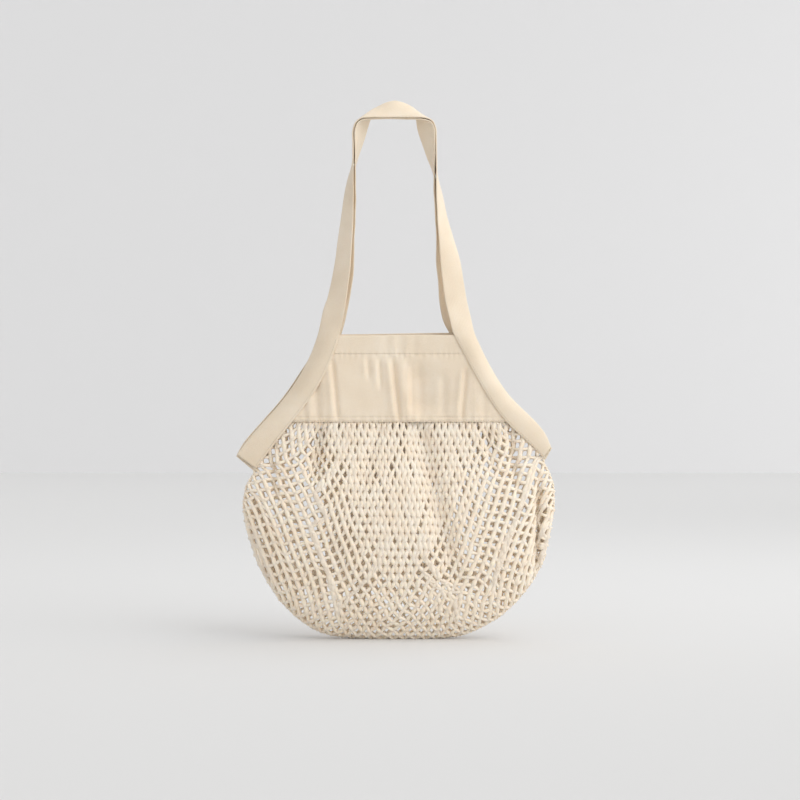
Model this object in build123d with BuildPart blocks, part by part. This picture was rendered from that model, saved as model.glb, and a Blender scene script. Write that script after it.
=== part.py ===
"""A net shopping bag: a gathered net pouch, two canvas mouth panels and two tape handles.

Millimetres, +Z up, X across the bag, -Y to its front. The origin is the hang point, under the
middle of the two nested handles. Heights below are stated from the lowest point of the net.
"""
import os
from math import cos, hypot, radians, sin

from build123d import *

os.makedirs("parts", exist_ok=True)

# ---- driving dimensions ----
hang_height = 655.0  # from the bottom of the net up to the hang point
mouth_height = 382.0  # top edge of the canvas panels
panel_bottom = 271.0  # where the net is gathered into the panels
hem_depth = 27.5  # folded strip along the top of each panel
tape_width = 30.0
tape_thickness = 2.0
fold_gap = 0.6  # between an edge band and the handle that continues it

# depth of each sewn layer, from the middle of the bag outwards, where the mouth is widest
hem_inner = 10.4
hem_thickness = 1.0
panel_inner = 11.5
panel_thickness = 1.0
band_inner = 12.6
band_thickness = 1.6
thread = 0.4  # how far a row of stitches stands off its cloth
thread_width = 0.8
hem_ends = (-80, 80)
hem_stitch = (1.0, -77, 81)  # height above the hem's lower edge, left end, right end
net_stitches = {  # height above the panel's bottom edge, left end, right end
    "net_stitch_upper": (5.5, -124, 129),
    "net_stitch_lower": (1.0, -128, 133),
}
band_stitch_inset = 2.2  # from a band's inner edge
band_stitch_top = 4.0  # where that row ends, below the mouth

flat_half = 97.0  # the panels run flat this far either side of the middle
tip_half = 201.0  # where the front and rear bands are sewn together
tip_depth = 0.3  # half of the gap between the bands there
taper = band_inner - tip_depth  # how much nearer the middle the layers are at the tips
panel_tuck = {"left": 14.0, "right": 10.0}  # how far the panel runs on under each band

net_wall = 2.4
net_open_top = 269.5
seam_half = 1.5  # half the width of the seam that joins the two nets
cavity_rise = 1.0  # how far the cavity's sections sit above the pouch's own, near its mouth
tab_drop = 3.0  # height of the sewn tab under each pair of band ends
tabs = {"left": ((-178, 211.5), (-200, 226.5)), "right": ((184, 224.5), (194, 236))}

# edge bands seen from the front, (x, height), from the mouth down to the tips
left_inner = [(-70, mouth_height), (-79, 354), (-99, 313), (-130, 271), (-164, 228), (-176, 212)]
left_outer = [(-97.5, mouth_height), (-117.5, 334), (-142, 298), (-187.5, 246), (-200.6, 228)]
right_inner = [(69, mouth_height), (82, 357), (107.5, 311), (135, 272), (162.5, 246), (182.5, 226)]
right_outer = [(96, mouth_height), (116, 339), (144, 298), (175, 268), (192.5, 240)]

# level sections of the net pouch: height, left edge, right edge, half depth
pouch_sections = [
    (0, -30, 40, 6),
    (3, -76, 75, 12),
    (11, -102, 98, 18),
    (27, -125, 127, 27),
    (48, -146, 150, 34),
    (71, -161, 168, 39),
    (96, -174, 182, 42),
    (136, -187, 191, 42),
    (167, -192, 196, 38),
    (192, -188, 195, 33),
    (209, -176, 189, 28),
    (224, -165, 180, 23),
    (246, -145, 159, 17.5),
    (net_open_top, -128.5, 133, 13.2),
]

# the handles' middle line: height, x, roll of the tape in degrees from facing the front to
# edge-on, and how far apart the two handles stand from front to rear
handle_stations = [
    (368, -90, 0, 23.2),
    (396, -79, 8, 22),
    (430, -71.5, 34, 19),
    (473, -64.5, 48, 15),
    (523, -61, 60, 10),
    (573, -57, 72, 5),
    (612, -54.5, 83, 1.5),
    (638, -53.5, 87, 0),
    (648, -51, 86, 0),
    (654, -43, 78, 0),
    (659, -28, 58, 0),
    (662, -3, 44, 0),
    (659, 21, 58, 0),
    (654, 35, 78, 0),
    (648, 43, 86, 0),
    (638, 45.5, 87, 0),
    (612, 46.5, 83, 1.5),
    (573, 48.5, 72, 5),
    (523, 57, 60, 10),
    (473, 65, 48, 15),
    (430, 72, 34, 19),
    (396, 78.5, 8, 22),
    (368, 88.5, 0, 23.2),
]
nesting = 1.8  # half the spacing of the nested handles, middle to middle

sides = {"front": -1, "rear": 1}


def up(height):
    """Height above the bottom of the net, as Z in the part's frame."""
    return height - hang_height


def placed(points):
    """Front-view points (x, height) as (x, Z)."""
    return [(x, up(height)) for x, height in points]


def shifted(points, distance):
    """The points moved sideways off their own line, to the right of its direction."""
    moved = []
    for i, (x, height) in enumerate(points):
        before = points[max(i - 1, 0)]
        after = points[min(i + 1, len(points) - 1)]
        along_x, along_z = after[0] - before[0], after[1] - before[1]
        length = hypot(along_x, along_z)
        moved.append((x + distance * along_z / length, height - distance * along_x / length))
    return moved


def trimmed(points, top):
    """The points of an edge, with its upper end lowered to a height of top."""
    return [(points[0][0] + (points[1][0] - points[0][0]) * (points[0][1] - top)
             / (points[0][1] - points[1][1]), top)] + points[1:]


def cloth(side, inner, thickness, edge, other_edge):
    """One sewn layer: the shape between two edges seen from the front, cut from a bent wall."""
    facing = sides[side]
    at_tip = inner - taper
    with BuildPart() as layer:
        with BuildSketch(Plane.XY.offset(up(0))):
            with BuildLine():
                Polyline(
                    (-tip_half, facing * at_tip),
                    (-flat_half, facing * inner),
                    (flat_half, facing * inner),
                    (tip_half, facing * at_tip),
                    (tip_half, facing * (at_tip + thickness)),
                    (flat_half, facing * (inner + thickness)),
                    (-flat_half, facing * (inner + thickness)),
                    (-tip_half, facing * (at_tip + thickness)),
                    close=True,
                )
            make_face()
        extrude(amount=hang_height)
        with BuildSketch(Plane.XZ):
            with BuildLine():
                first = Spline(*placed(edge)) if len(edge) > 2 else Line(*placed(edge))
                second = Spline(*placed(other_edge)) if len(edge) > 2 else Line(*placed(other_edge))
                Line(first @ 0, second @ 0)
                Line(first @ 1, second @ 1)
            make_face()
        extrude(amount=hem_inner + tape_width, both=True, mode=Mode.INTERSECT)
    return layer.part


def write(part, label):
    part.label = label
    export_step(part, f"parts/{label}.step")


def level_strip(low, high, left, right):
    """Two level edges of a straight strip."""
    return [(left, low), (right, low)], [(left, high), (right, high)]


def make_band(side, name, inner, outer):
    """One sewn edge band and the row of stitches inside its inner edge."""
    band_top = mouth_height - fold_gap / 2
    stitch_top = mouth_height - band_stitch_top
    stitch_depth = band_inner + band_thickness
    inset = band_stitch_inset if name == "left" else -band_stitch_inset
    far_inset = inset + thread_width if name == "left" else inset - thread_width
    edges = trimmed(inner, band_top), trimmed(outer, band_top)
    write(cloth(side, band_inner, band_thickness, *edges), f"{side}_{name}_band")
    edges = trimmed(shifted(inner, inset), stitch_top), trimmed(shifted(inner, far_inset), stitch_top)
    write(cloth(side, stitch_depth, thread, *edges), f"{side}_{name}_band_stitch")


def make_flap(side):
    """One canvas panel with its hem, edge bands and rows of stitches."""
    left_edge = [(x - panel_tuck["left"], height) for x, height in left_inner if height >= panel_bottom]
    right_edge = [(x + panel_tuck["right"], height) for x, height in right_inner if height >= panel_bottom]
    write(cloth(side, panel_inner, panel_thickness, left_edge, right_edge), f"{side}_panel")

    hem_low = mouth_height - hem_depth
    hem = level_strip(hem_low, mouth_height, *hem_ends)
    write(cloth(side, hem_inner, hem_thickness, *hem), f"{side}_hem")

    lift, left, right = hem_stitch
    rows = {"hem_stitch": (hem_low + lift, left, right)}
    for name, (lift, left, right) in net_stitches.items():
        rows[name] = (panel_bottom + lift, left, right)
    for name, (height, left, right) in rows.items():
        row = level_strip(height, height + thread_width, left, right)
        write(cloth(side, panel_inner + panel_thickness, thread, *row), f"{side}_{name}")

    make_band(side, "left", left_inner, left_outer)
    make_band(side, "right", right_inner, right_outer)


def handle_frames(facing):
    """A plane for each station of one handle: x along the tape's width, y off its outer face."""
    frames = []
    count = len(handle_stations)
    for i, (height, x, roll, spread) in enumerate(handle_stations):
        before = handle_stations[max(i - 1, 0)]
        after = handle_stations[min(i + 1, count - 1)]
        along = Vector(after[1] - before[1], 0, after[0] - before[0]).normalized()
        across = Vector(-along.Z, 0, along.X)
        turn = radians(roll)
        width = across * cos(turn) + Vector(0, sin(turn), 0)
        outward = across * sin(turn) - Vector(0, cos(turn), 0)
        middle = Vector(x, facing * spread / 2, up(height)) - outward * (facing * nesting)
        frames.append(Plane(origin=middle, x_dir=width, z_dir=width.cross(outward)))
    return frames


# ---- canvas panels, hems, edge bands and stitching ----
for side in sides:
    make_flap(side)

# ---- handles: one tape each, from mouth to mouth over the top ----
for side, facing in sides.items():
    with BuildPart() as handle:
        for frame in handle_frames(facing):
            with BuildSketch(frame):
                Rectangle(tape_width, tape_thickness)
        loft(ruled=True)
        split(bisect_by=Plane.XY.offset(up(mouth_height + fold_gap / 2)), keep=Keep.TOP)
    write(handle.part, f"{side}_handle")

# ---- net pouch: a hollow bag, divided into front net, rear net and the seam between them ----
with BuildPart() as pouch:
    for height, left, right, half_depth in pouch_sections:
        with BuildSketch(Plane(((left + right) / 2, 0, up(height)))):
            Ellipse((right - left) / 2, half_depth)
    loft(ruled=True)
    for height, left, right, half_depth in pouch_sections:
        level = height + (net_wall if height < panel_bottom / 2 else cavity_rise)
        with BuildSketch(Plane(((left + right) / 2, 0, up(level)))):
            Ellipse((right - left) / 2 - net_wall, half_depth - net_wall)
    loft(ruled=True, mode=Mode.SUBTRACT)

for side, facing in sides.items():
    with BuildPart() as net:
        add(pouch.part)
        keep = Keep.TOP if facing > 0 else Keep.BOTTOM
        split(bisect_by=Plane.ZX.offset(facing * seam_half), keep=keep)
    write(net.part, f"net_{side}")

with BuildPart() as net_seam:
    add(pouch.part)
    split(bisect_by=Plane.ZX.offset(seam_half), keep=Keep.BOTTOM)
    split(bisect_by=Plane.ZX.offset(-seam_half), keep=Keep.TOP)
write(net_seam.part, "net_edge_seam")

# ---- tip seams: the sewn tab under each pair of band ends ----
for name, (low, high) in tabs.items():
    lower = [(x, height - tab_drop) for x, height in (high, low)]
    with BuildPart() as tab:
        with BuildSketch(Plane.XZ):
            with BuildLine():
                Polyline(*placed([low, high, *lower]), close=True)
            make_face()
        extrude(amount=seam_half, both=True)
    write(tab.part, f"{name}_tip_seam")
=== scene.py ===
"""Looks of the net shopping bag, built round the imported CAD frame.

Metres, in the part's own frame: the origin is the hang point, +Z is up, X runs across the bag
and -Y is its front. Heights are stated from the lowest point of the net.
"""

import bpy
import numpy as np
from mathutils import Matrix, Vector


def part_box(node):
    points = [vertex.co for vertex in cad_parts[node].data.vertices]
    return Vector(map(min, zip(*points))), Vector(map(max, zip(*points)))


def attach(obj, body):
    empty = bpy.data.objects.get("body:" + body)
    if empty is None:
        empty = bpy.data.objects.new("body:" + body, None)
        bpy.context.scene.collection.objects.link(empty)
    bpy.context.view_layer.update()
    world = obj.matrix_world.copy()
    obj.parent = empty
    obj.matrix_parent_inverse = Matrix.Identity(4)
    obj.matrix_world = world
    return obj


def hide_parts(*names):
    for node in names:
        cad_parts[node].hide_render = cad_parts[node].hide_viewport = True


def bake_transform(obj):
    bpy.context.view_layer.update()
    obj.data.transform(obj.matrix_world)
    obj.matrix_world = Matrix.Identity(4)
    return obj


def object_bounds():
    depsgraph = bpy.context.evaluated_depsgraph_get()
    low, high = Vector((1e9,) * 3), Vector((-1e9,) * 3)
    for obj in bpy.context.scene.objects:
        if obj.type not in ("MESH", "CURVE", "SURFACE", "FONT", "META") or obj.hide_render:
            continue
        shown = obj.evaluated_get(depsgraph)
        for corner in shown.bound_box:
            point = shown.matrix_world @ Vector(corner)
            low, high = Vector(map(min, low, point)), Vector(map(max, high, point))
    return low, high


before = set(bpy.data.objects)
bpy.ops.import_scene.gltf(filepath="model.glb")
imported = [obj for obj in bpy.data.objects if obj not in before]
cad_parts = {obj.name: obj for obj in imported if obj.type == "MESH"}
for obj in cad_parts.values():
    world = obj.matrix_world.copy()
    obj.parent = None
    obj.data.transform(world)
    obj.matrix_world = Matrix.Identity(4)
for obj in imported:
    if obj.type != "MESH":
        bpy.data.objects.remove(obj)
cad_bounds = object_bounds()

# ---- measures ----
MM = 0.001
ground = cad_bounds[0].z
facing = {"front": -1, "rear": 1}
tape_width = 30 * MM
tape_thickness = 1.7 * MM
cloth_thickness = 0.9 * MM
nesting = 1.5 * MM  # half the spacing of the nested handles
flat_half = 97 * MM  # the panels run flat this far either side of the middle
tip_half = 201 * MM  # where the front and rear tapes are sewn together
taper = 12.3 * MM  # how much nearer the middle the layers are at the tips


def up(height):
    """Height above the lowest point of the net, as Z in the frame."""
    return ground + height


def ease(value):
    """0 to 1, smoothly, as the value goes from 0 to 1."""
    value = np.clip(value, 0, 1)
    return value * value * (3 - 2 * value)


def bell(value, width):
    """1 at zero, and near 0 beyond twice the width."""
    return np.exp(-((value / width) ** 2))


# ---- reading the CAD nodes ----
def level_cut(node, z):
    """Lowest and highest corner of a node's cut by a level plane."""
    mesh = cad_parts[node].data
    points = np.empty(len(mesh.vertices) * 3)
    mesh.vertices.foreach_get("co", points)
    points = points.reshape(-1, 3)
    ends = np.empty(len(mesh.edges) * 2, int)
    mesh.edges.foreach_get("vertices", ends)
    first, second = points[ends[0::2]], points[ends[1::2]]
    rise = second[:, 2] - first[:, 2]
    crossing = ((first[:, 2] - z) * (second[:, 2] - z) <= 0) & (np.abs(rise) > 1e-9)
    share = (z - first[crossing, 2]) / rise[crossing]
    cut = first[crossing] + (second[crossing] - first[crossing]) * share[:, None]
    return cut.min(0), cut.max(0)


def level_cuts(node, count, inset=0.2 * MM):
    """Level cuts of a node, bottom to top: heights, lowest corners and highest corners."""
    low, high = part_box(node)
    levels = np.linspace(low.z + inset, high.z - inset, count)
    cuts = [level_cut(node, z) for z in levels]
    return levels - ground, np.array([c[0] for c in cuts]), np.array([c[1] for c in cuts])


# ---- curves and meshes ----
def reach_along(points):
    """How far along their line each of the points is."""
    return np.concatenate([[0], np.cumsum(np.linalg.norm(np.diff(points, axis=0), axis=1))])


def rows_at(places, reach, rows):
    """Rows of values, known at each reach of a line, at other places along it."""
    return np.stack([np.interp(places, reach, column) for column in rows.T], axis=1)


def even_steps(points, count):
    """The same line, with count points at even steps of its length."""
    reach = reach_along(points)
    return rows_at(np.linspace(0, reach[-1], count), reach, points)


def smooth_path(points, count):
    """A smooth curve through the points, at count even steps of its length."""
    points = np.array(points, float)
    steps = np.linalg.norm(np.diff(points, axis=0), axis=1)
    reach = reach_along(points)
    slopes = np.gradient(points, reach, axis=0)
    fine = np.linspace(0, reach[-1], count * 4)
    i = np.clip(np.searchsorted(reach, fine, side="right") - 1, 0, len(steps) - 1)
    span = steps[i][:, None]
    t = (fine - reach[i])[:, None] / span
    curve = (
        (2 * t**3 - 3 * t**2 + 1) * points[i]
        + (t**3 - 2 * t**2 + t) * span * slopes[i]
        + (3 * t**2 - 2 * t**3) * points[i + 1]
        + (t**3 - t**2) * span * slopes[i + 1]
    )
    return even_steps(curve, count)


def line_length(points):
    return float(np.linalg.norm(np.diff(points, axis=0), axis=1).sum())


def unit(vectors):
    return vectors / np.maximum(np.linalg.norm(vectors, axis=-1, keepdims=True), 1e-12)


def tube(line, radius, sides, stance=(0.13, -0.97, 0.2), flatness=1.0):
    """Rings of points round a line; stance is any direction that the line never runs along.

    A flatness under 1 makes the rings flat ovals, thinnest along the stance.
    """
    tangent = unit(np.gradient(line, axis=0))
    across = unit(np.cross(stance, tangent))
    rise = np.cross(tangent, across)
    angle = np.arange(sides) * (2 * np.pi / sides)
    radius = np.broadcast_to(radius, len(line))[:, None, None]
    turned = np.cos(angle)[:, None] * across[:, None, :]
    turned = turned + flatness * np.sin(angle)[:, None] * rise[:, None, :]
    return line[:, None, :] + radius * turned


def shell(surface, thickness):
    """Rings round a grid of surface points, so that it becomes cloth of that thickness."""
    down, over = np.gradient(surface, axis=0), np.gradient(surface, axis=1)
    off = unit(np.cross(over, down)) * (np.asarray(thickness) / 2)[..., None]
    return np.concatenate([surface - off, (surface + off)[:, ::-1]], axis=1)


class Mesh:
    """Gathers tubes and shells, each a grid of closed rings, into one mesh."""

    def __init__(self):
        self.points, self.faces, self.uvs, self.count = [], [], [], 0

    def add(self, rings, along=None):
        """Add rings of points with capped ends; along is each ring's place on the thread map."""
        rows, columns = rings.shape[:2]
        if along is None:
            along = reach_along(rings.mean(axis=1))
        around = np.arange(columns + 1) / columns
        row, column = np.meshgrid(np.arange(rows - 1), np.arange(columns), indexing="ij")
        row, column = row.ravel(), column.ravel()
        corners = [(row, column), (row, column + 1), (row + 1, column + 1), (row + 1, column)]
        quads = np.stack([r * columns + c % columns for r, c in corners], axis=1)
        self.faces += (quads + self.count).tolist()
        places = [np.stack([along[r], around[c]], axis=-1) for r, c in corners]
        self.uvs.append(np.stack(places, axis=1))
        ring = np.arange(columns)
        for end, order in ((0, ring[::-1]), (rows - 1, ring)):
            self.faces.append((order + end * columns + self.count).tolist())
            self.uvs.append(np.stack([np.full(columns, along[end]), around[order]], axis=-1))
        self.points.append(rings.reshape(-1, 3))
        self.count += rows * columns

    def build(self, name, material):
        mesh = bpy.data.meshes.new(name)
        mesh.from_pydata(np.concatenate(self.points).tolist(), [], self.faces)
        layer = mesh.uv_layers.new(name="thread_map")
        uvs = np.concatenate([uv.reshape(-1, 2) for uv in self.uvs])
        layer.data.foreach_set("uv", uvs.astype(np.float32).ravel())
        mesh.polygons.foreach_set("use_smooth", np.ones(len(mesh.polygons), bool))
        mesh.materials.append(material)
        mesh.update()
        obj = bpy.data.objects.new(name, mesh)
        bpy.context.scene.collection.objects.link(obj)
        return obj


# ---- materials ----
def new_material(name, roughness, sheen, glow):
    """An empty cloth material; glow is how much light passes through its fibres."""
    material = bpy.data.materials.new(name)
    material.use_nodes = True
    tree = material.node_tree
    shader = tree.nodes["Principled BSDF"]
    shader.inputs["Roughness"].default_value = roughness
    shader.inputs["Sheen Weight"].default_value = sheen
    shader.inputs["Sheen Roughness"].default_value = 0.5
    shader.inputs["Specular IOR Level"].default_value = 0.25
    shader.inputs["Subsurface Weight"].default_value = glow
    shader.inputs["Subsurface Radius"].default_value = (1.0, 0.78, 0.55)
    shader.inputs["Subsurface Scale"].default_value = 3 * MM
    return material, tree, shader


def math_node(tree, operation, first, second=None):
    node = tree.nodes.new("ShaderNodeMath")
    node.operation = operation
    for socket, value in zip(node.inputs, (first, second)):
        if isinstance(value, (int, float)):
            socket.default_value = value
        elif value is not None:
            tree.links.new(value, socket)
    return node.outputs[0]


def weighted(tree, first, first_weight, second, second_weight):
    """The sum of two amounts, each times its weight."""
    return math_node(tree, "ADD", math_node(tree, "MULTIPLY", first, first_weight),
                     math_node(tree, "MULTIPLY", second, second_weight))


def noise(tree, place, scale, detail):
    node = tree.nodes.new("ShaderNodeTexNoise")
    node.inputs["Scale"].default_value = scale
    node.inputs["Detail"].default_value = detail
    tree.links.new(place, node.inputs["Vector"])
    return node.outputs["Fac"]


def tint(tree, shader, amount, colours):
    """Colour by a 0 to 1 amount, through a ramp of (place, colour) stops."""
    ramp = tree.nodes.new("ShaderNodeValToRGB")
    while len(ramp.color_ramp.elements) < len(colours):
        ramp.color_ramp.elements.new(0.5)
    for stop, (place, colour) in zip(ramp.color_ramp.elements, colours):
        stop.position = place
        stop.color = (*colour, 1)
    tree.links.new(amount, ramp.inputs[0])
    tree.links.new(ramp.outputs[0], shader.inputs["Base Color"])


def bump(tree, shader, height, distance, strength):
    node = tree.nodes.new("ShaderNodeBump")
    node.inputs["Distance"].default_value = distance
    node.inputs["Strength"].default_value = strength
    tree.links.new(height, node.inputs["Height"])
    tree.links.new(node.outputs[0], shader.inputs["Normal"])


def rib(tree, place, pitch, sharpness):
    """0 to 1 and back once each pitch of a length."""
    turn = math_node(tree, "MULTIPLY", place, 2 * np.pi / pitch)
    wave = math_node(tree, "MULTIPLY_ADD", math_node(tree, "SINE", turn), 0.5)
    wave.node.inputs[2].default_value = 0.5
    return math_node(tree, "POWER", wave, sharpness)


def coordinates(tree, kind):
    return tree.nodes.new("ShaderNodeTexCoord").outputs[kind]


def split(tree, vector):
    node = tree.nodes.new("ShaderNodeSeparateXYZ")
    tree.links.new(vector, node.inputs[0])
    return node.outputs


def thread_material(name, twist, relief, colours):
    """Plied cotton: strands that wind round the thread, on the map's along and around."""
    material, tree, shader = new_material(name, roughness=0.9, sheen=0.45, glow=0.2)
    plies = 3
    along, around, _ = split(tree, coordinates(tree, "UV"))
    winding = math_node(tree, "ADD", math_node(tree, "MULTIPLY", along, 1 / twist), around)
    strands = rib(tree, math_node(tree, "MULTIPLY", winding, plies), pitch=1.0, sharpness=0.6)
    place = coordinates(tree, "Object")
    fuzz = noise(tree, place, scale=2600, detail=4.0)
    patches = noise(tree, place, scale=60, detail=2.0)
    bump(tree, shader, weighted(tree, strands, 1, fuzz, 0.6), relief, strength=0.4)
    # the colour is lighter on the plies' crowns and darker in the grooves between them, which is painted
    # shade; it also varies in patches, the cotton's own uneven tone
    tint(tree, shader, weighted(tree, strands, 0.25, patches, 0.75), colours)
    return material


def canvas_material():
    """Plain-woven canvas: warp and weft pass over and under, with slubs in both."""
    material, tree, shader = new_material("canvas", roughness=0.92, sheen=0.15, glow=0.15)
    place = coordinates(tree, "Object")
    x, _, z = split(tree, place)
    thread_pitch = 0.75 * MM
    warp = rib(tree, x, thread_pitch, sharpness=0.7)
    weft = rib(tree, z, thread_pitch, sharpness=0.7)
    slubs = noise(tree, place, scale=900, detail=3.0)
    patches = noise(tree, place, scale=28, detail=3.0)
    weave = math_node(tree, "MAXIMUM", warp, weft)
    bump(tree, shader, weighted(tree, weave, 1, slubs, 0.8), 0.25 * MM, strength=0.5)
    tint(tree, shader, weighted(tree, slubs, 0.45, patches, 0.55), canvas_colours)
    return material


def tape_material():
    """Webbing: fine ribs along the tape, crossed by its weft."""
    material, tree, shader = new_material("tape", roughness=0.9, sheen=0.15, glow=0.15)
    along, around, _ = split(tree, coordinates(tree, "UV"))
    across = math_node(tree, "MULTIPLY", around, 2 * tape_width)
    ribs = rib(tree, across, pitch=1.25 * MM, sharpness=0.8)
    weft = rib(tree, along, pitch=0.9 * MM, sharpness=0.8)
    place = coordinates(tree, "Object")
    slubs = noise(tree, place, scale=1100, detail=3.0)
    patches = noise(tree, place, scale=22, detail=2.0)
    weave = math_node(tree, "MULTIPLY", ribs, weft)
    bump(tree, shader, weighted(tree, weave, 1, slubs, 0.6), 0.25 * MM, strength=0.5)
    tint(tree, shader, weighted(tree, slubs, 0.4, patches, 0.6), tape_colours)
    return material


# each look's colours: (place on the 0 to 1 scale, colour)
cord_colours = [(0.25, (0.91, 0.75, 0.58)), (0.5, (0.98, 0.835, 0.67)), (0.75, (0.99, 0.89, 0.75))]
thread_colours = [(0.3, (0.62, 0.50, 0.37)), (0.6, (0.76, 0.64, 0.50))]
canvas_colours = [(0.3, (0.83, 0.69, 0.53)), (0.5, (0.90, 0.76, 0.60)), (0.7, (0.94, 0.82, 0.67))]
tape_colours = [(0.3, (0.76, 0.64, 0.49)), (0.5, (0.83, 0.71, 0.56)), (0.7, (0.88, 0.77, 0.63))]

cord_look = thread_material("net_cord", 4 * MM, 0.35 * MM, cord_colours)
thread_look = thread_material("sewing_thread", 1.2 * MM, 0.08 * MM, thread_colours)
canvas_look = canvas_material()
tape_look = tape_material()


# ---- the pouch's shape, from the CAD ----
net_top = 274 * MM  # the nets run up behind the panels to here
net_tuck = 4 * MM  # and this far outside the tapes' inner edges
tip_rise = 2 * MM  # of the place where net and tapes meet, above the tapes' lowest corners
behind_panel = 9.6 * MM  # a net's depth where it is sewn behind its panel
below_panel = 0.55  # how fast that depth may grow below, as a slope
square_low = 230 * MM  # above here the pouch's level sections grow squarer, up to net_top
panel_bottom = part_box("front_panel")[0].z - ground
cord = 2.05 * MM  # radius of a net strand


def band_edge(side, name):
    """Inner and outer edge of a sewn band, tip to mouth, as rows of (x, height)."""
    heights, low, high = level_cuts(f"{side}_{name}_band", 60)
    inner, outer = (high, low) if name == "left" else (low, high)
    furthest = int(np.argmax(np.abs(outer[:, 0])))
    inner_line = np.stack([inner[:, 0], heights], axis=1)
    outer_line = np.stack([outer[furthest:, 0], heights[furthest:]], axis=1)
    return even_steps(inner_line, 60), even_steps(outer_line, 60)


band_edges = {name: band_edge("front", name) for name in ("left", "right")}
tip_height = {name: edges[0][0, 1] + tip_rise for name, edges in band_edges.items()}

pouch_heights, pouch_low, pouch_high = level_cuts("net_front", 60)
pouch_depths = -pouch_low[:, 1]


def pouch_edge(name, height):
    """X of the pouch's outline; above the tips it lies hidden behind the bands."""
    pouch = pouch_low[:, 0] if name == "left" else pouch_high[:, 0]
    edge = np.interp(height, pouch_heights, pouch)
    inner = band_edges[name][0]
    hidden = np.interp(height, inner[:, 1], inner[:, 0]) + (-net_tuck if name == "left" else net_tuck)
    return np.where(height > tip_height[name], hidden, edge)


# folds in each net, mm: x at the top and at the bottom, top and bottom height, width and depth
net_folds = {
    "front": [(-158, -152, 252, 185, 5, 10), (141, 148, 262, 195, 5, 9), (-96, -102, 262, 205, 8, 9),
              (28, 66, 262, 95, 14, 9.5), (112, 118, 262, 215, 7, 5), (176, 172, 190, 80, 5, 12),
              (-84, -66, 130, 70, 10, 3), (-20, -44, 270, 190, 8, 3)],
    "rear": [(-140, -132, 255, 190, 6, 8), (120, 130, 255, 190, 6, 7), (0, 8, 240, 40, 12, 5),
             (-60, -80, 255, 90, 9, 5), (60, 84, 200, 60, 9, 5), (-172, -168, 180, 90, 5, 8)],
}


def net_creases(side, x, height):
    """How far the folds in a net push it inwards; each fades out a little past its ends."""
    inwards = np.zeros(np.broadcast(x, height).shape)
    for x_top, x_low, top, low, width, depth in net_folds[side]:
        share = (top - height / MM) / (top - low)
        aside = x / MM - (x_top + (x_low - x_top) * share)
        fade = ease((share + 0.25) / 0.4) * ease((1.3 - share) / 0.5)
        inwards += depth * MM * fade * bell(aside, width)
    return inwards


def net_depth(side, x, height):
    """How far a net stands from the middle plane, folds and all."""
    return np.maximum(pouch_depth(x, height) - net_creases(side, x, height), 1 * MM)


def pouch_depth(x, height):
    """How far the pouch's cloth stands from the middle plane."""
    left, right = pouch_edge("left", height), pouch_edge("right", height)
    depth = np.interp(height, pouch_heights, pouch_depths)
    tucked = behind_panel + (net_top - height) * below_panel
    depth = np.minimum(depth, np.maximum(tucked, behind_panel))
    squareness = 2 + 1.2 * ease((height - square_low) / (net_top - square_low))
    t = np.clip(np.abs((x - (left + right) / 2) / ((right - left) / 2)), 0, 1)
    return depth * (1 - t**squareness) ** (1 / squareness)


def outline():
    """The pouch's edge from the left tip, down, along the bottom and up to the right tip."""
    sides = []
    for name in ("left", "right"):
        height = tip_height[name] * (1 - np.cos(np.linspace(0, np.pi / 2, 40))) + 0.2 * MM
        sides.append(np.stack([pouch_edge(name, height), height], axis=1))
    return even_steps(np.concatenate([sides[0][::-1], sides[1]]), 1500)


# ---- nets: a sheet of knotless diamond mesh, hung and settled ----
wales = 36
bar = 10.9 * MM  # from knot to knot
edge_step = 11.5 * MM  # knot spacing down the pouch's sides
band_knots = 5  # even steps in which a net's side is sewn behind its band, down to the tip
first_scatter = 0.6 * MM  # of the loose knots, before the net settles
uneven_bars = 0.03  # how much the bars' lengths vary, as a share
net_steps = 2600  # of the settling
damping = 0.9  # share of its speed that a knot keeps at each step
give = 0.4  # how far a bar that is pushed together springs back at each step
edge_gap = 2 * MM  # between the loose knots and the seam

per_bar = 7  # points along one bar of a strand
strand_lift = 0.35 * MM  # how far a strand passes over and under the ones it crosses
strand_flatness = 0.62
# what is added to a strand's thickness: at its knots, where strands are drawn together, along the
# twist of its yarn, and unevenly
knot_swell, gathered_swell, twist_swell, uneven_swell = 0.32, 0.45, 0.05, 0.025
low_part = 80 * MM  # below here low_swell comes in, in full from half that height down


def net_layout(rows):
    """Number of each knot by (wale, row), and the bars in four groups that share no knot."""
    numbers = {}
    for row in range(rows + 1):
        for wale in range(wales + 1 - row % 2):
            numbers[wale, row] = len(numbers)
    bars = []
    for parity in (0, 1):
        for turn in (0, 1):
            group = []
            for row in range(parity, rows, 2):
                for wale in range(wales + 1 - row % 2):
                    below = wale + turn - (1 - row % 2), row + 1
                    if below in numbers:
                        group.append((numbers[wale, row], numbers[below]))
            bars.append(np.array(group))
    return numbers, bars


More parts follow.
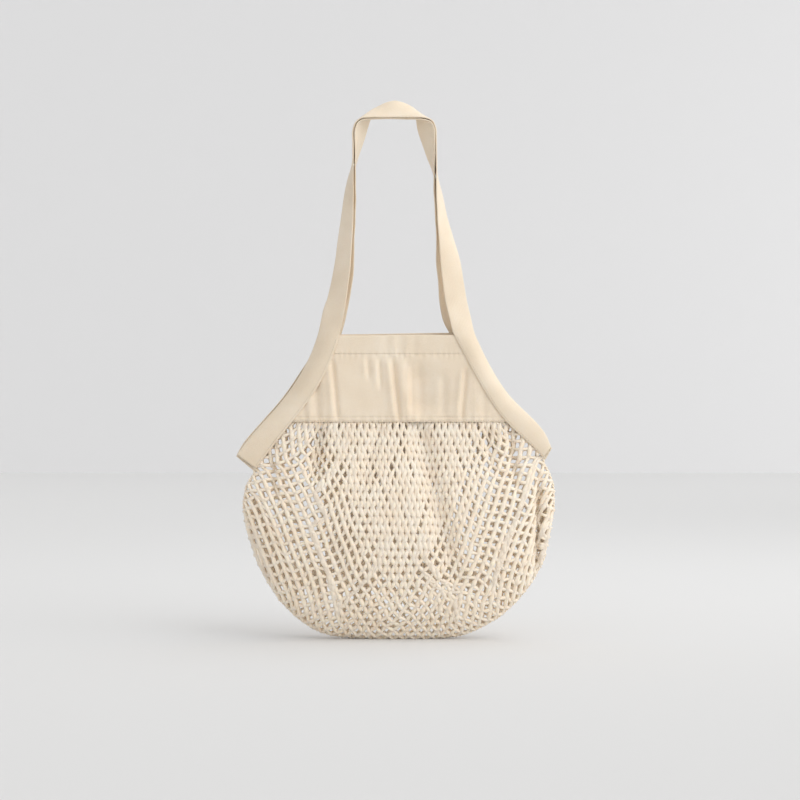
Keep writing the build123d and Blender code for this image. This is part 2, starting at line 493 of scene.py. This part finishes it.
def hang_net(rows):
    """Where the net is sewn: its top row, both sides and the bottom, and a first guess inside."""
    numbers, _ = net_layout(rows)
    places = np.zeros((len(numbers), 2))
    sewn = np.zeros(len(numbers), bool)
    edge = outline()
    length = line_length(edge)
    half = rows // 2

    def fix(wale, row, place):
        places[numbers[wale, row]] = place
        sewn[numbers[wale, row]] = True

    corners = [float(pouch_edge(name, net_top)) for name in ("left", "right")]
    for wale in range(wales + 1):
        fix(wale, 0, (corners[0] + (corners[1] - corners[0]) * wale / wales, net_top))
    for pair in range(1, half + 1):
        for wale, name, line in ((0, "left", edge), (wales, "right", edge[::-1])):
            if pair < band_knots:
                height = net_top + (tip_height[name] - net_top) * pair / band_knots
                fix(wale, 2 * pair, (float(pouch_edge(name, height)), height))
            else:
                step = (pair - band_knots) * edge_step / length * (len(line) - 1)
                fix(wale, 2 * pair, line[int(step)])
    start = (half - band_knots) * edge_step / length
    for wale in range(wales + 1):
        step = (start + (1 - 2 * start) * wale / wales) * (len(edge) - 1)
        fix(wale, rows, edge[int(step)])

    # the loose knots start spread out evenly between the sewn ones
    for (wale, row), number in numbers.items():
        if sewn[number]:
            continue
        u, v = (wale + 0.5 * (row % 2)) / wales, row / rows

        def between(first, second, share):
            return places[numbers[first]] * (1 - share) + places[numbers[second]] * share

        above = row - row % 2
        beside = int(u * wales)
        left = between((0, above), (0, min(above + 2, rows)), (row % 2) / 2)
        right = between((wales, above), (wales, min(above + 2, rows)), (row % 2) / 2)
        top = between((beside, 0), (min(beside + 1, wales), 0), u * wales - beside)
        bottom = between((beside, rows), (min(beside + 1, wales), rows), u * wales - beside)
        corner = (1 - v) * between((0, 0), (wales, 0), u) + v * between((0, rows), (wales, rows), u)
        places[number] = (1 - u) * left + u * right + (1 - v) * top + v * bottom - corner
    return places, sewn


def relaxed_net(side, seed, rows, pull):
    """Let the net hang: its bars keep their length in space, and the pull of each step sags it."""
    draw = np.random.default_rng(seed)
    numbers, bars = net_layout(rows)
    places, sewn = hang_net(rows)
    loose = ~sewn
    places[loose] += draw.normal(0, first_scatter, places.shape)[loose]
    lengths = [bar * (1 + draw.normal(0, uneven_bars, len(group))) for group in bars]
    free = loose.astype(float)
    before = places.copy()
    for _ in range(net_steps):
        moved = (places - before) * damping
        before = places.copy()
        places = places + moved * free[:, None]
        places[:, 1] -= pull * free
        for group, rest in zip(bars, lengths):
            first, second = group[:, 0], group[:, 1]
            depth = net_depth(side, places[:, 0], places[:, 1])
            step = places[second] - places[first]
            reach = np.sqrt((step**2).sum(1) + (depth[second] - depth[first]) ** 2) + 1e-9
            stiffness = np.where(reach > rest, 1.0, give)
            weight = np.maximum(free[first] + free[second], 1e-9)
            share = step * (stiffness * (reach - rest) / reach / weight)[:, None]
            np.add.at(places, first, share * free[first][:, None])
            np.add.at(places, second, -share * free[second][:, None])
        places[loose, 1] = np.maximum(places[loose, 1], 1 * MM)
        low = pouch_edge("left", places[:, 1]) + edge_gap
        high = pouch_edge("right", places[:, 1]) - edge_gap
        places[loose, 0] = np.clip(places[:, 0], low, high)[loose]
    return numbers, places


def strands(rows):
    """Both families of strands, each a run of (wale, row) knots from the top or a side."""
    runs = []
    for lean in (1, -1):
        side = 0 if lean > 0 else wales
        starts = [(wale, 0) for wale in range(wales + 1)]
        starts += [(side, row) for row in range(2, rows, 2)]
        for wale, row in starts:
            run = [(wale, row)]
            while row < rows:
                wale += row % 2 - (0 if lean > 0 else 1)
                row += 1
                if not 0 <= wale <= wales - row % 2:
                    break
                run.append((wale, row))
            if len(run) > 1:
                runs.append((lean, run))
    return runs


def make_net(side, seed, rows, pull, thickness, low_swell):
    """One net; thickness and low_swell scale its strands, the second only near the bottom."""
    numbers, places = relaxed_net(side, seed, rows, pull)
    draw = np.random.default_rng(seed + 100)
    mesh = Mesh()
    for lean, run in strands(rows):
        count = (len(run) - 1) * per_bar + 1
        flat = smooth_path(places[[numbers[knot] for knot in run]], count)
        turn = np.arange(count) / per_bar
        x, height = flat[:, 0], flat[:, 1]
        depth = net_depth(side, x, height)
        over = lean * strand_lift * np.cos(np.pi * turn)
        y = facing[side] * np.maximum(depth - cord + over, 0.8 * MM)
        line = np.stack([x, y, up(height)], axis=1)
        knot = np.cos(2 * np.pi * turn) * 0.5 + 0.5
        twist = np.cos(6 * np.pi * turn + draw.uniform(0, 6))
        steep = np.abs(unit(np.gradient(line, axis=0))[:, 2])
        gathered = ease((steep - 0.80) / 0.14)  # strands that are drawn together run steeply
        swell = knot_swell * knot**1.5 + gathered_swell * gathered + twist_swell * twist
        swell += draw.normal(0, uneven_swell, count)
        swell += low_swell * ease((low_part - height) / (low_part / 2))
        mesh.add(tube(line, cord * (thickness + swell), 6, flatness=strand_flatness))
    net = mesh.build(f"{side}_net", cord_look)
    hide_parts(f"net_{side}")
    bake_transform(net)


make_net("front", seed=0, rows=30, pull=0.010 * MM, thickness=0.90, low_swell=0.08)
make_net("rear", seed=3, rows=28, pull=0.012 * MM, thickness=1.02, low_swell=-0.45)


# ---- seam round the nets' edge ----
def edge_seam():
    """Two strands wound round each other."""
    lay = 9 * MM  # one turn of a strand
    strand = 1.05 * MM
    off_middle = 0.9 * MM
    mesh = Mesh()
    edge = even_steps(outline(), 700)
    lift = np.maximum(2 * MM - edge[:, 1], 0)  # keeps it off the floor
    line = np.stack([edge[:, 0], np.zeros(len(edge)), up(edge[:, 1] + lift)], axis=1)
    tangent = unit(np.gradient(line, axis=0))
    inward = np.cross(tangent, (0, 1, 0))
    reach = np.arange(len(edge)) * line_length(line) / len(edge)
    for phase in (0, np.pi):
        turn = (2 * np.pi * reach / lay + phase)[:, None]
        ply = line + off_middle * (np.cos(turn) * inward + np.sin(turn) * np.array([0, 1, 0]))
        radius = strand * (1 + 0.1 * np.cos(4 * np.pi * reach / lay))
        mesh.add(tube(ply, radius, 8, stance=(0.05, -1, 0.02)))
    seam = mesh.build("edge_seam", cord_look)
    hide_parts("net_edge_seam")
    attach(seam, "net_pouch")


edge_seam()


# ---- canvas panels ----
# soft folds in each panel: x at the top and at the bottom, width, depth (mm, before fold_scale),
# and how far down the fold starts and ends, as shares of the cloth below the hem
panel_folds = {
    "front": [(-81, -73.5, 3.2, 1.9, 0.02, 1), (-102, -99, 6, 1.8, 0.3, 1), (-36, -33, 3, 1.2, 0, 0.45),
              (-22, -19, 3, 1.3, 0, 0.6), (-6, 3, 3.5, 2.1, 0, 1), (13, 15, 4, 1.0, 0, 0.7),
              (27, 31, 5, 0.8, 0.05, 1), (60, 57, 5, 1.0, 0.25, 1), (88, 80, 3.2, 1.7, 0.15, 1),
              (112, 108, 5, 0.8, 0.5, 1), (-118, -114, 5, 1.0, 0.6, 1)],
    "rear": [(-70, -76, 4, 1.6, 0, 1), (-44, -40, 5, 1.2, 0, 0.8), (-12, -18, 4, 1.2, 0, 1),
             (16, 12, 4, 1.0, 0, 0.6), (40, 47, 6, 1.6, 0.1, 1), (84, 78, 4, 1.6, 0.1, 1),
             (104, 102, 6, 1.2, 0.4, 1), (-104, -100, 6, 1.3, 0.4, 1)],
}
fold_scale = 1.8
hollow = (12, 50, 8.5)  # the front panel sinks in right of the middle: left end, width, depth (mm)
hem_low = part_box("front_hem")[0].z - ground
mouth_height = {"front": 378.3 * MM, "rear": 380 * MM}
tape_overlap = 6 * MM  # of the panel's cloth under each tape
hem_overlap = 5 * MM  # of the hem under each tape
mouth_roll = 0.6 * MM  # radius of the panel's folded mouth edge
panel_depth = -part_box("front_panel")[0].y - cloth_thickness / 2
# seams sewn through the panels, which dent them: the hem's and the two that hold the gathers
seam_heights = (hem_low + 0.6 * MM, panel_bottom + 1.4 * MM, panel_bottom + 5.9 * MM)


def inward(x):
    """How much nearer the middle plane the sewn layers are towards the tips."""
    return taper * np.clip((np.abs(x) - flat_half) / (tip_half - flat_half), 0, 1)


def mouth_line(side, x):
    """Height of the mouth's edge; the rear one rises to the right."""
    if side == "rear":
        return mouth_height[side] + 2.0 * MM * ease((x / MM + 80) / 160)
    return mouth_height[side] + 0.4 * MM * np.sin(x / (26 * MM))


def fold_depth(side, x, height):
    """How far the panel's folds push it off its plane, inwards positive."""
    share = np.clip((hem_low - height) / (hem_low - panel_bottom), 0, 1)
    pushed = np.zeros(np.broadcast(x, height).shape)
    for x_top, x_low, width, depth, start, end in panel_folds[side]:
        aside = x / MM - (x_top + (x_low - x_top) * share)
        fade = ease((share - start) / 0.18)
        if end < 1:
            fade = fade * ease((end - share) / 0.25)
        valley = bell(aside, width)
        ridge = bell(aside + 1.9 * width, 1.3 * width)
        pushed += fold_scale * depth * MM * fade * (valley - 0.45 * ridge)
    if side == "front":
        left_end, wide, deep = hollow
        across = ease((x / MM - left_end) / 8) * (1 - ease((x / MM - left_end - 9) / wide))
        sinks = ease((share - 0.03) / 0.35) * ease((height - panel_bottom) / (24 * MM))
        pushed += deep * MM * sinks * across
    held = ease((height - panel_bottom + 2 * MM) / (12 * MM))  # less folded where the net is sewn on
    pushed *= 0.35 + 0.65 * held
    gathers = 0.35 * np.sin(x / (1.55 * MM) + 2 * np.sin(x / (17 * MM)))
    pushed += gathers * MM * (1 - ease((height - panel_bottom) / (16 * MM)))
    pucker = 0.22 * np.sin(x / (1.2 * MM) + 2 * np.sin(x / (11 * MM)))
    pushed += pucker * MM * bell(height - hem_low, 5 * MM)
    for seam in seam_heights:
        pushed += 0.5 * MM * bell(height - seam, 0.9 * MM)
    ripple = 0.6 * np.sin(x / (2.9 * MM)) * bell(x - 4 * MM, 24 * MM)  # in the middle of the hem
    pushed += ripple * MM * (share < 0.02)
    billow = 0.35 * np.sin(x / (19 * MM) + 1.3) * np.sin(height / (30 * MM))
    return pushed + billow * MM


def panel_y(side, x, height, proud=0.0):
    """Y of a panel's middle surface, or of a layer that stands proud of it."""
    depth = panel_depth - inward(x) - fold_depth(side, x, height) + proud
    return facing[side] * depth


def panel_edges(height, overlap):
    """Left and right edge of the cloth that runs on under the tapes by an overlap."""
    return [np.interp(height, band_edges[name][0][:, 1], band_edges[name][0][:, 0]) + reach
            for name, reach in (("left", -overlap), ("right", overlap))]


def make_panel(side):
    """The canvas from its gathered bottom, up and over the folded mouth edge."""
    rows, roll_rows = 130, 5
    rise = np.concatenate([np.linspace(0, 1, rows), np.ones(roll_rows)])
    curl = np.concatenate([np.zeros(rows), np.linspace(0.2, 1, roll_rows)]) * np.pi
    share = np.linspace(0, 1, 230)[:, None]
    base = panel_bottom + (mouth_height[side] - mouth_roll - panel_bottom) * rise
    left, right = panel_edges(base, tape_overlap)
    x = left + (right - left) * share
    height = base + (mouth_line(side, x) - mouth_height[side]) * rise**3
    y = panel_y(side, x, height)
    y = y - facing[side] * mouth_roll * (1 - np.cos(curl))
    height = height + mouth_roll * np.sin(curl)
    surface = np.stack([x, y, up(height)], axis=-1)
    mesh = Mesh()
    mesh.add(shell(surface, cloth_thickness), along=share[:, 0] * (x[-1].max() - x[0].min()))
    panel = mesh.build(f"{side}_panel_cloth", canvas_look)
    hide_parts(f"{side}_panel")
    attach(panel, f"{side}_mouth")


def make_hem(side):
    """The turned-in strip along the mouth, with its raw edge folded under."""
    share = np.linspace(0, 1, 22)
    low = hem_low - 2 * MM
    left, right = panel_edges(low + (mouth_height[side] - low) * share, hem_overlap)
    x = left + (right - left) * np.linspace(0, 1, 200)[:, None]
    top = mouth_line(side, x) - mouth_roll
    height = low + (top - low) * share
    behind = (1.15 + 0.35 * bell(height - hem_low, 4 * MM)) * MM
    y = panel_y(side, x, height, proud=-behind)
    surface = np.stack([x, y, up(height)], axis=-1)
    thickness = cloth_thickness * (0.9 + 0.6 * (share < 0.3))
    mesh = Mesh()
    mesh.add(shell(surface, np.broadcast_to(thickness, y.shape)))
    hem = mesh.build(f"{side}_hem_fold", canvas_look)
    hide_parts(f"{side}_hem")
    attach(hem, f"{side}_mouth")


for side in facing:
    make_panel(side)
    make_hem(side)


# ---- tapes: one strip each, from tip to tip over the top ----
# the free stretch, left mouth to right mouth, mm: the front-view (x, height) of the edge that is
# nearer the middle or the front, the same of the other edge, and the spacing of the two tapes
handle_edges = [
    (-67, 397, -93, 401, 15.5), (-64, 412, -88.5, 416, 16), (-60, 438, -82, 441, 16.5),
    (-57, 462, -77.5, 464, 15.5), (-54.8, 497, -72.5, 498, 12.5), (-53.2, 523, -69, 523, 10),
    (-52.8, 548, -65.5, 548, 7.5), (-53, 573, -60.5, 573, 5), (-53.3, 598, -52, 598, 2.5),
    (-53.7, 620, -44, 621, 1), (-53.3, 636, -38, 639, 0), (-50.5, 643, -35, 649, 0),
    (-44, 647.5, -31, 659.5, 0), (-32, 648.8, -22.5, 665, 0), (-18, 649, -12, 670, 0),
    (-5, 649.2, -3, 672, 0), (8, 649, 5, 670.5, 0), (20, 648.8, 13.5, 667, 0),
    (34, 648, 22, 660.5, 0), (43, 645.2, 25, 651, 0), (47.3, 637.5, 26.5, 640, 0), (48.2, 625, 31, 625, 1),
    (48.2, 608, 37.5, 608, 2), (47.8, 586, 46, 586, 4), (47.6, 566, 52.1, 566, 5.5),
    (48, 548, 56.8, 548, 7.5), (49.3, 523, 62.2, 523, 10), (51, 498, 70, 498, 12.5),
    (52.8, 473, 77.5, 474, 15), (56, 446, 82, 448, 16.5), (60, 418, 86.5, 422, 16), (65, 398, 91, 403, 15.5),
]
band_depth = 12.0 * MM  # of the tapes' sewn inner edges, from the middle plane
mouth_level = 382 * MM
# the rear tape lies flat on its panel up to turn_start, then turns over until free_level, to lie
# like the front one; above rear_hidden its edges are those of the front one
turn_start = 362 * MM
free_level = 445 * MM
rear_hidden = 560 * MM


def edge_drop(a, b):
    """How far apart in depth a tape's edges stand, so that it keeps its width."""
    return np.sqrt(max(tape_width**2 - ((a - b) ** 2).sum(), 0))


def shows_between(height, low, low_fade, high, high_fade):
    """1 between two heights, fading to 0 above the low one and below the high one."""
    return ease((high - height) / high_fade) * ease((height - low) / low_fade)


def rear_edges(a, b, drop):
    """The rear tape's edges and drop: turned over, and peeping out beside the front tape."""
    on_left = a[0] < 0
    wide = np.linalg.norm(b - a)
    towards = (b - a) / max(wide, 1e-9)
    drop = drop * (2 * ease((a[1] - turn_start) / (free_level - turn_start)) - 1)
    wider = np.sqrt(tape_width**2 - drop**2) - wide
    wider = min(max(wider, 0), 5 * MM) * ease((rear_hidden - a[1]) / (60 * MM))
    if a[1] < turn_start:
        peep = shows_between(a[1], 205 * MM, 20 * MM, 350 * MM, 30 * MM)
        b = b + towards * (2.4 if on_left else 0.6) * MM * peep
    elif on_left:
        b = b + towards * wider
    else:
        a = a - towards * wider
    peep = shows_between(a[1], 374 * MM, 16 * MM, 510 * MM, 50 * MM)
    shift = towards * (2.0 if on_left else 3.8) * MM * peep
    return a - shift, b - shift, drop


def tape_stations(side):
    """Both edges of a tape in space, (inner, outer), from the left tip to the right tip."""
    rows = []
    for name in ("left", "right"):
        inner, outer = (even_steps(edge, 12) for edge in band_edges[name])
        band = []
        for a, b in zip(inner, outer):
            depth = band_depth - inward(a[0])
            drop = min(edge_drop(a, b), depth - 0.6 * MM)
            band.append((a, b, depth - drop / 2, max(drop, 0)))
        if name == "left":
            rows += band
            for inner_x, inner_up, outer_x, outer_up, spread in handle_edges:
                a, b = np.array([inner_x, inner_up]) * MM, np.array([outer_x, outer_up]) * MM
                rows.append((a, b, spread * MM / 2, edge_drop(a, b)))
        else:
            rows += band[::-1]
    placed = []
    for a, b, middle, drop in rows:
        if side == "rear" and a[1] < rear_hidden:
            a, b, drop = rear_edges(a, b, drop)
        y = facing[side] * middle
        placed.append((a[0], y - drop / 2, up(a[1]), b[0], y + drop / 2, up(b[1])))
    return placed


# a tape's section, from edge to edge: places across it, and its thickness there as a share
tape_share = np.array([0, 0.012, 0.04, 0.12, 0.25, 0.375, 0.5, 0.625, 0.75, 0.88, 0.96, 0.988, 1])
tape_rounding = np.array([0.45, 0.8, 1, 1, 1, 1, 1, 1, 1, 1, 1, 0.8, 0.45])


def make_tape(side, seed):
    """One tape: slightly crowned and wavy, sewn flat below the mouth, and nested above it."""
    crown_rise, wave_rise = 0.7 * MM, 0.5 * MM
    draw = np.random.default_rng(seed)
    stations = smooth_path(tape_stations(side), 420)
    inner, outer = stations[:, :3], stations[:, 3:]
    middle = (inner + outer) / 2
    width = outer - inner
    off = unit(np.cross(unit(np.gradient(middle, axis=0)), unit(width)))
    reach = reach_along(middle)
    wave = sum(draw.uniform(0.1, 0.3) * np.sin(2 * np.pi * reach / pitch + draw.uniform(0, 6))
               for pitch in (90 * MM, 53 * MM, 31 * MM))
    from_middle = 2 * tape_share - 1
    crown = crown_rise * (1 - from_middle**2)[None, :] + wave_rise * wave[:, None] * from_middle[None, :]
    surface = inner[:, None, :] + width[:, None, :] * tape_share[None, :, None]
    sewn = ease((mouth_level + 20 * MM - (middle[:, 2] - ground)) / (30 * MM))[:, None]
    surface[..., 1] += sewn * width[:, 1:2] * (tape_share**2.6 - tape_share)[None, :]
    surface = surface + off[:, None, :] * (crown - facing[side] * nesting)[..., None]
    thickness = np.broadcast_to(tape_thickness * tape_rounding, surface.shape[:2])
    mesh = Mesh()
    mesh.add(shell(surface, thickness), along=reach)
    tape = mesh.build(f"{side}_tape", tape_look)
    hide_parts(f"{side}_left_band", f"{side}_right_band", f"{side}_handle")
    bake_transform(tape)
    return surface


tape_surfaces = {side: make_tape(side, seed) for side, seed in (("front", 5), ("rear", 6))}


# ---- stitches ----
def stitch_row(mesh, line, off, step=3.2 * MM, length=2.5 * MM, radius=0.36 * MM):
    """Separate stitches along a line on a cloth's surface; off is the surface's outward side."""
    reach = reach_along(line)
    shape = np.linspace(0, 1, 6)
    rise = 0.35 * MM * np.sin(np.pi * shape) - 0.15 * MM  # a stitch's ends sink into the cloth
    for k in range(int(line_length(line) / step)):
        places = (k + 0.5) * step + (shape - 0.5) * length
        stitch = rows_at(places, reach, line) + rows_at(places, reach, off) * rise[:, None]
        swell = radius * (0.35 + 0.65 * np.sin(np.pi * shape) ** 0.5)
        mesh.add(tube(stitch, swell, 6, stance=(0.31, 0.12, 0.94)))


def outwards(side, line):
    """The bag's own outward direction on one side, for each point of a line."""
    return np.tile([0.0, facing[side], 0.0], (len(line), 1))


def level_row(side, node):
    """A level row of stitches on a panel, where the CAD has its row."""
    low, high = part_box(node)
    x = np.linspace(low.x, high.x, 500)
    height = np.full(len(x), (low.z + high.z) / 2 - ground)
    y = panel_y(side, x, height, proud=cloth_thickness / 2)
    line = np.stack([x, y, up(height)], axis=1)
    return line, outwards(side, line)


def band_row(side, name):
    """Stitches just inside a tape's inner edge, from the tip to the mouth."""
    surface = tape_surfaces[side]
    heights = surface[:, 0, 2] - ground
    half = len(surface) // 2
    part = slice(0, half) if name == "left" else slice(half, None)
    rows = surface[part][heights[part] < mouth_level - 4 * MM]
    inset = 2.6 * MM / tape_width
    column = np.interp(inset, tape_share, np.arange(len(tape_share)))
    low = int(column)
    line = rows[:, low] + (rows[:, low + 1] - rows[:, low]) * (column - low)
    along = unit(np.gradient(line, axis=0))
    off = unit(np.cross(along, unit(rows[:, -1] - rows[:, 0])))
    off = off * -facing[side]
    return line + off * tape_thickness / 2, off


for side in facing:
    rows = {name: level_row(side, f"{side}_{name}")
            for name in ("hem_stitch", "net_stitch_upper", "net_stitch_lower")}
    for name in ("left", "right"):
        rows[f"{name}_band_stitch"] = band_row(side, name)
    for name, (line, off) in rows.items():
        mesh = Mesh()
        stitch_row(mesh, line, off)
        stitches = mesh.build(f"{side}_{name}_thread", thread_look)
        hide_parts(f"{side}_{name}")
        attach(stitches, f"{side}_mouth")


# ---- tip seams: the tapes' ends, folded and sewn across ----
def tip_seam(name):
    """The tab that the tapes' ends make, which narrows towards the outside, and its stitches."""
    inner, outer = band_edges[name]
    a, b = inner[0], outer[0]
    across = (b - a) / np.linalg.norm(b - a)
    down = np.array([across[1], -across[0]])
    down = down if down[1] < 0 else -down
    share = np.linspace(-0.02, 1.0, 24)[:, None]
    drop = np.linspace(-3.0, 4.2, 8) * MM  # from above the tapes' ends to below them
    narrowing = (1 - 0.45 * share)[..., None]
    flat = a + (b - a) * share[..., None] + down * drop[None, :, None] * narrowing
    y = np.broadcast_to(0.25 * MM * np.sin(share * 21), flat.shape[:2])
    surface = np.stack([flat[..., 0], y, up(flat[..., 1])], axis=-1)
    thickness = np.array([2.2, 3.2, 3.4, 3.2, 3.0, 3.0, 2.6, 1.2]) * MM
    mesh = Mesh()
    mesh.add(shell(surface, np.broadcast_to(thickness, surface.shape[:2])))
    tab = mesh.build(f"{name}_tip_tab", tape_look)
    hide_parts(f"{name}_tip_seam")
    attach(tab, "net_pouch")
    sewing = Mesh()
    sewn_column = 5
    for side in facing:
        line = surface[:, sewn_column] + np.array([0, facing[side] * 1.5 * MM, 0])
        stitch_row(sewing, line, outwards(side, line), step=2.4 * MM, length=1.9 * MM)
    stitches = sewing.build(f"{name}_tip_stitches", thread_look)
    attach(stitches, "net_pouch")


tip_seam("left")
tip_seam("right")


# ---- floor, wall, lights and camera ----
def plain_surface(name, corners, colour):
    mesh = bpy.data.meshes.new(name)
    mesh.from_pydata(corners, [], [(0, 1, 2, 3)])
    obj = bpy.data.objects.new(name, mesh)
    bpy.context.scene.collection.objects.link(obj)
    material = bpy.data.materials.new(name)
    material.use_nodes = True
    shader = material.node_tree.nodes["Principled BSDF"]
    shader.inputs["Base Color"].default_value = (*colour, 1)
    shader.inputs["Roughness"].default_value = 0.95
    shader.inputs["Specular IOR Level"].default_value = 0.1
    mesh.materials.append(material)


def add_light(name, kind, energy, shining, place=(0, 0, 0)):
    """A light whose rays run in the direction of shining."""
    light = bpy.data.lights.new(name, kind)
    light.energy = energy
    obj = bpy.data.objects.new(name, light)
    obj.location = place
    obj.rotation_euler = Vector(shining).to_track_quat("-Z", "Y").to_euler()
    bpy.context.scene.collection.objects.link(obj)
    return light


stage_half = 14.0
wall_distance = 6.8
wall_height = 9.0
near = [(-stage_half, -stage_half), (stage_half, -stage_half)]
far = [(stage_half, wall_distance), (-stage_half, wall_distance)]
wall_foot = [(x, y, ground) for x, y in far[::-1]]
wall_top = [(x, y, ground + wall_height) for x, y in far]
plain_surface("floor", [(x, y, ground) for x, y in near + far], (0.70, 0.70, 0.70))
plain_surface("wall", wall_foot + wall_top, (0.765, 0.765, 0.772))

world = bpy.data.worlds.new("studio")
world.use_nodes = True
world.node_tree.nodes["Background"].inputs["Color"].default_value = (1.0, 1.0, 1.0, 1)
world.node_tree.nodes["Background"].inputs["Strength"].default_value = 0.72
bpy.context.scene.world = world

key = add_light("key", "SUN", 1.6, shining=(-0.71, 0.40, -0.58))
key.angle = 1.25  # wide, so that its shadows are soft
key.color = (1, 0.99, 0.97)

glow = add_light("floor_glow", "AREA", 8.0, shining=(0, 0, -1), place=(0.9, 0.7, ground + 2.0))
glow.size = 1.5

# this one stands outside the picture and brightens the wall towards the right
wash = add_light("wall_wash", "AREA", 12.0, shining=(-0.5, 0.75, 0.45), place=(3.4, 4.4, ground + 0.8))
wash.size = 1.5

bpy.context.scene.view_settings.view_transform = "Standard"

camera_data = bpy.data.cameras.new("camera")
camera_data.lens = 108
camera_data.sensor_width = 36
camera = bpy.data.objects.new("camera", camera_data)
camera.location = (3.75 * MM, -3.0, up(0.298))
camera.rotation_euler = (np.pi / 2, 0, 0)
bpy.context.scene.collection.objects.link(camera)
bpy.context.scene.camera = camera
